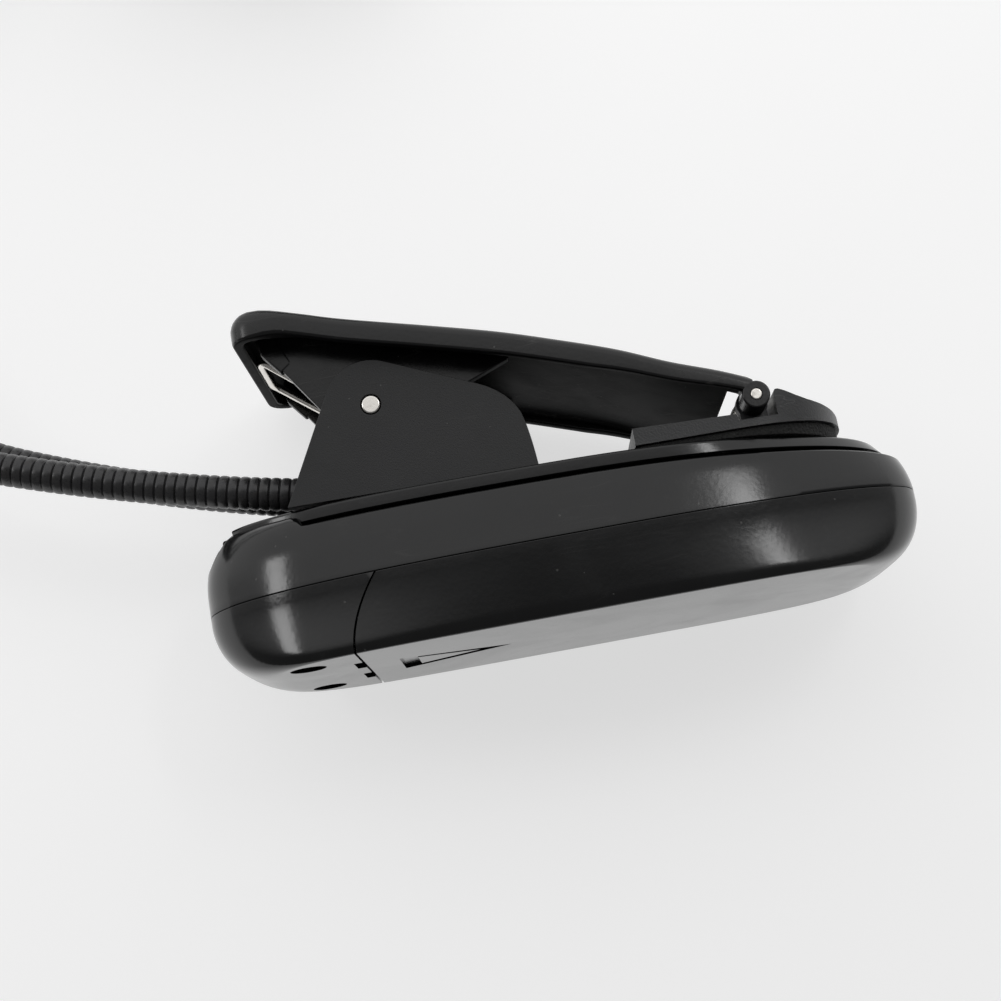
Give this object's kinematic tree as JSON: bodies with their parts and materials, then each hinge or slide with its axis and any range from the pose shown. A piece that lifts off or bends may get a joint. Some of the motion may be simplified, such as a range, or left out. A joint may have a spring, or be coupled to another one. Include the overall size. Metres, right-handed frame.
{
  "type": "clip on reading lamp",
  "caption": "Battery reading lamp with a sprung clip on the back of a flat rounded body and flexible gooseneck arms that end in small lamp heads.",
  "frame": {"origin": "centre of the flat front face of the battery body, which the lamp stands on", "axes": "+X along the body towards the clip's jaw, +Z out of the back towards the clip, +Y across the body, away from the side the picture shows"},
  "size_m": [0.1656, 0.039, 0.1445],
  "materials": {
    "gloss_black": "glossy moulded black plastic",
    "satin_black": "fine matt moulded black plastic",
    "foam": "dense black foam rubber",
    "steel": "bright plated steel",
    "contact_plate": "nickel plated spring strip",
    "tray_plastic": "moulded black plastic",
    "battery_jacket": "printed film jacket",
    "circuit_board": "green solder mask",
    "clear_lens": "clear moulded plastic",
    "led_resin": "clear resin over a yellow phosphor",
    "button_rubber": "grey silicone rubber",
    "gooseneck_steel": "black plated coiled steel"
  },
  "bodies": {
    "base": {"front_end_shell": "gloss_black", "back_shell": "gloss_black", "back_plate": "gloss_black", "clip_bracket": "satin_black", "pivot_pin": "steel", "battery_tray": "tray_plastic", "battery_near": "battery_jacket", "battery_middle": "battery_jacket", "battery_far": "battery_jacket", "cell_spring_near": "steel", "cell_spring_middle": "steel", "cell_spring_far": "steel", "contact_bridge_jaw_end": "contact_plate", "contact_tab_jaw_end": "contact_plate", "contact_bridge_neck_end": "contact_plate", "contact_tab_neck_end": "contact_plate", "driver_board": "circuit_board", "case_screw_near": "steel", "case_screw_far": "steel", "bracket_screw_1": "steel", "bracket_screw_2": "steel", "arm_clamp": "satin_black", "arm_near_root": "gooseneck_steel", "arm_far_root": "gooseneck_steel", "lever_spring": "steel"},
    "door": {"battery_door": "gloss_black"},
    "lever": {"clip_lever": "gloss_black", "jaw_pin": "steel", "jaw_spring": "steel"},
    "jaw": {"jaw_shoe": "satin_black", "jaw_pad": "foam"},
    "arm_near_1": {"arm_near_link_1": "gooseneck_steel"},
    "arm_near_2": {"arm_near_link_2": "gooseneck_steel"},
    "arm_near_3": {"arm_near_link_3": "gooseneck_steel"},
    "arm_near_4": {"arm_near_link_4": "gooseneck_steel"},
    "arm_near_5": {"arm_near_link_5": "gooseneck_steel"},
    "arm_near_6": {"arm_near_link_6": "gooseneck_steel", "head_near_housing": "gloss_black", "head_near_lens": "clear_lens", "head_near_led_board": "circuit_board", "head_near_led_1": "led_resin", "head_near_led_2": "led_resin"},
    "button_near": {"head_near_button": "button_rubber"},
    "arm_far_1": {"arm_far_link_1": "gooseneck_steel"},
    "arm_far_2": {"arm_far_link_2": "gooseneck_steel"},
    "arm_far_3": {"arm_far_link_3": "gooseneck_steel"},
    "arm_far_4": {"arm_far_link_4": "gooseneck_steel"},
    "arm_far_5": {"arm_far_link_5": "gooseneck_steel"},
    "arm_far_6": {"arm_far_link_6": "gooseneck_steel", "head_far_housing": "gloss_black", "head_far_lens": "clear_lens", "head_far_led_board": "circuit_board", "head_far_led_1": "led_resin", "head_far_led_2": "led_resin"},
    "button_far": {"head_far_button": "button_rubber"}
  },
  "joints": [
    {"name": "lever_open", "type": "hinge", "parent": "base", "child": "lever", "pos_m": [-0.0218, 0, 0.033], "axis": [0, -1, 0], "range_deg": [0, 25], "stiffness_Nm_per_rad": 0.3, "springref_deg": -28.65, "deforming": ["lever_spring"]},
    {"name": "jaw_tilt", "type": "hinge", "parent": "lever", "child": "jaw", "pos_m": [0.0282, 0, 0.0242], "axis": [0, -1, 0], "range_deg": [-12.5, 0], "deforming": ["jaw_spring"]},
    {"name": "door_slide", "type": "slide", "parent": "base", "child": "door", "axis": [1, 0, 0], "range_m": [0, 0.086]},
    {"name": "near_bend_1", "type": "hinge", "parent": "base", "child": "arm_near_1", "pos_m": [-0.03187, -0.00275, 0.02493], "axis": [0, 1, 0], "range_deg": [-8, 25]},
    {"name": "near_splay_1", "type": "hinge", "parent": "arm_near_1", "child": "arm_near_2", "pos_m": [-0.06553, -0.00275, 0.03356], "axis": [0.3044, 0, 0.9525], "range_deg": [0, 6]},
    {"name": "near_bend_2", "type": "hinge", "parent": "arm_near_2", "child": "arm_near_3", "pos_m": [-0.09584, -0.00304, 0.04981], "axis": [0, 1, 0], "range_deg": [-25, 10]},
    {"name": "near_splay_2", "type": "hinge", "parent": "arm_near_3", "child": "arm_near_4", "pos_m": [-0.11273, -0.00519, 0.07964], "axis": [0.9747, 0, 0.2237], "range_deg": [0, 25]},
    {"name": "near_bend_3", "type": "hinge", "parent": "arm_near_4", "child": "arm_near_5", "pos_m": [-0.11026, -0.00812, 0.11376], "axis": [0, 1, 0], "range_deg": [-25, 10]},
    {"name": "near_splay_3", "type": "hinge", "parent": "arm_near_5", "child": "arm_near_6", "pos_m": [-0.08623, -0.01024, 0.13775], "axis": [0.3956, 0, -0.9184], "range_deg": [0, 25]},
    {"name": "near_button_press", "type": "slide", "parent": "arm_near_6", "child": "button_near", "axis": [-0.342, 0, -0.9397], "range_m": [0, 0.0008], "stiffness_N_per_m": 400},
    {"name": "far_bend_1", "type": "hinge", "parent": "base", "child": "arm_far_1", "pos_m": [-0.03184, 0.00275, 0.02509], "axis": [0, 1, 0], "range_deg": [-8, 25]},
    {"name": "far_splay_1", "type": "hinge", "parent": "arm_far_1", "child": "arm_far_2", "pos_m": [-0.06455, 0.00275, 0.0348], "axis": [-0.3524, 0, -0.9359], "range_deg": [0, 6]},
    {"name": "far_bend_2", "type": "hinge", "parent": "arm_far_2", "child": "arm_far_3", "pos_m": [-0.09357, 0.00301, 0.05216], "axis": [0, 1, 0], "range_deg": [-25, 10]},
    {"name": "far_splay_2", "type": "hinge", "parent": "arm_far_3", "child": "arm_far_4", "pos_m": [-0.10912, 0.00515, 0.08206], "axis": [-0.981, 0, -0.1938], "range_deg": [0, 25]},
    {"name": "far_bend_3", "type": "hinge", "parent": "arm_far_4", "child": "arm_far_5", "pos_m": [-0.10576, 0.00811, 0.1155], "axis": [0, 1, 0], "range_deg": [-25, 10]},
    {"name": "far_splay_3", "type": "hinge", "parent": "arm_far_5", "child": "arm_far_6", "pos_m": [-0.08167, 0.01025, 0.13861], "axis": [-0.3833, 0, 0.9236], "range_deg": [0, 25]},
    {"name": "far_button_press", "type": "slide", "parent": "arm_far_6", "child": "button_far", "axis": [-0.342, 0, -0.9397], "range_m": [0, 0.0008], "stiffness_N_per_m": 400}
  ],
  "couplings": [
    {"joint": "jaw_tilt", "follows": "lever_open", "ratio": -0.5}
  ]
}
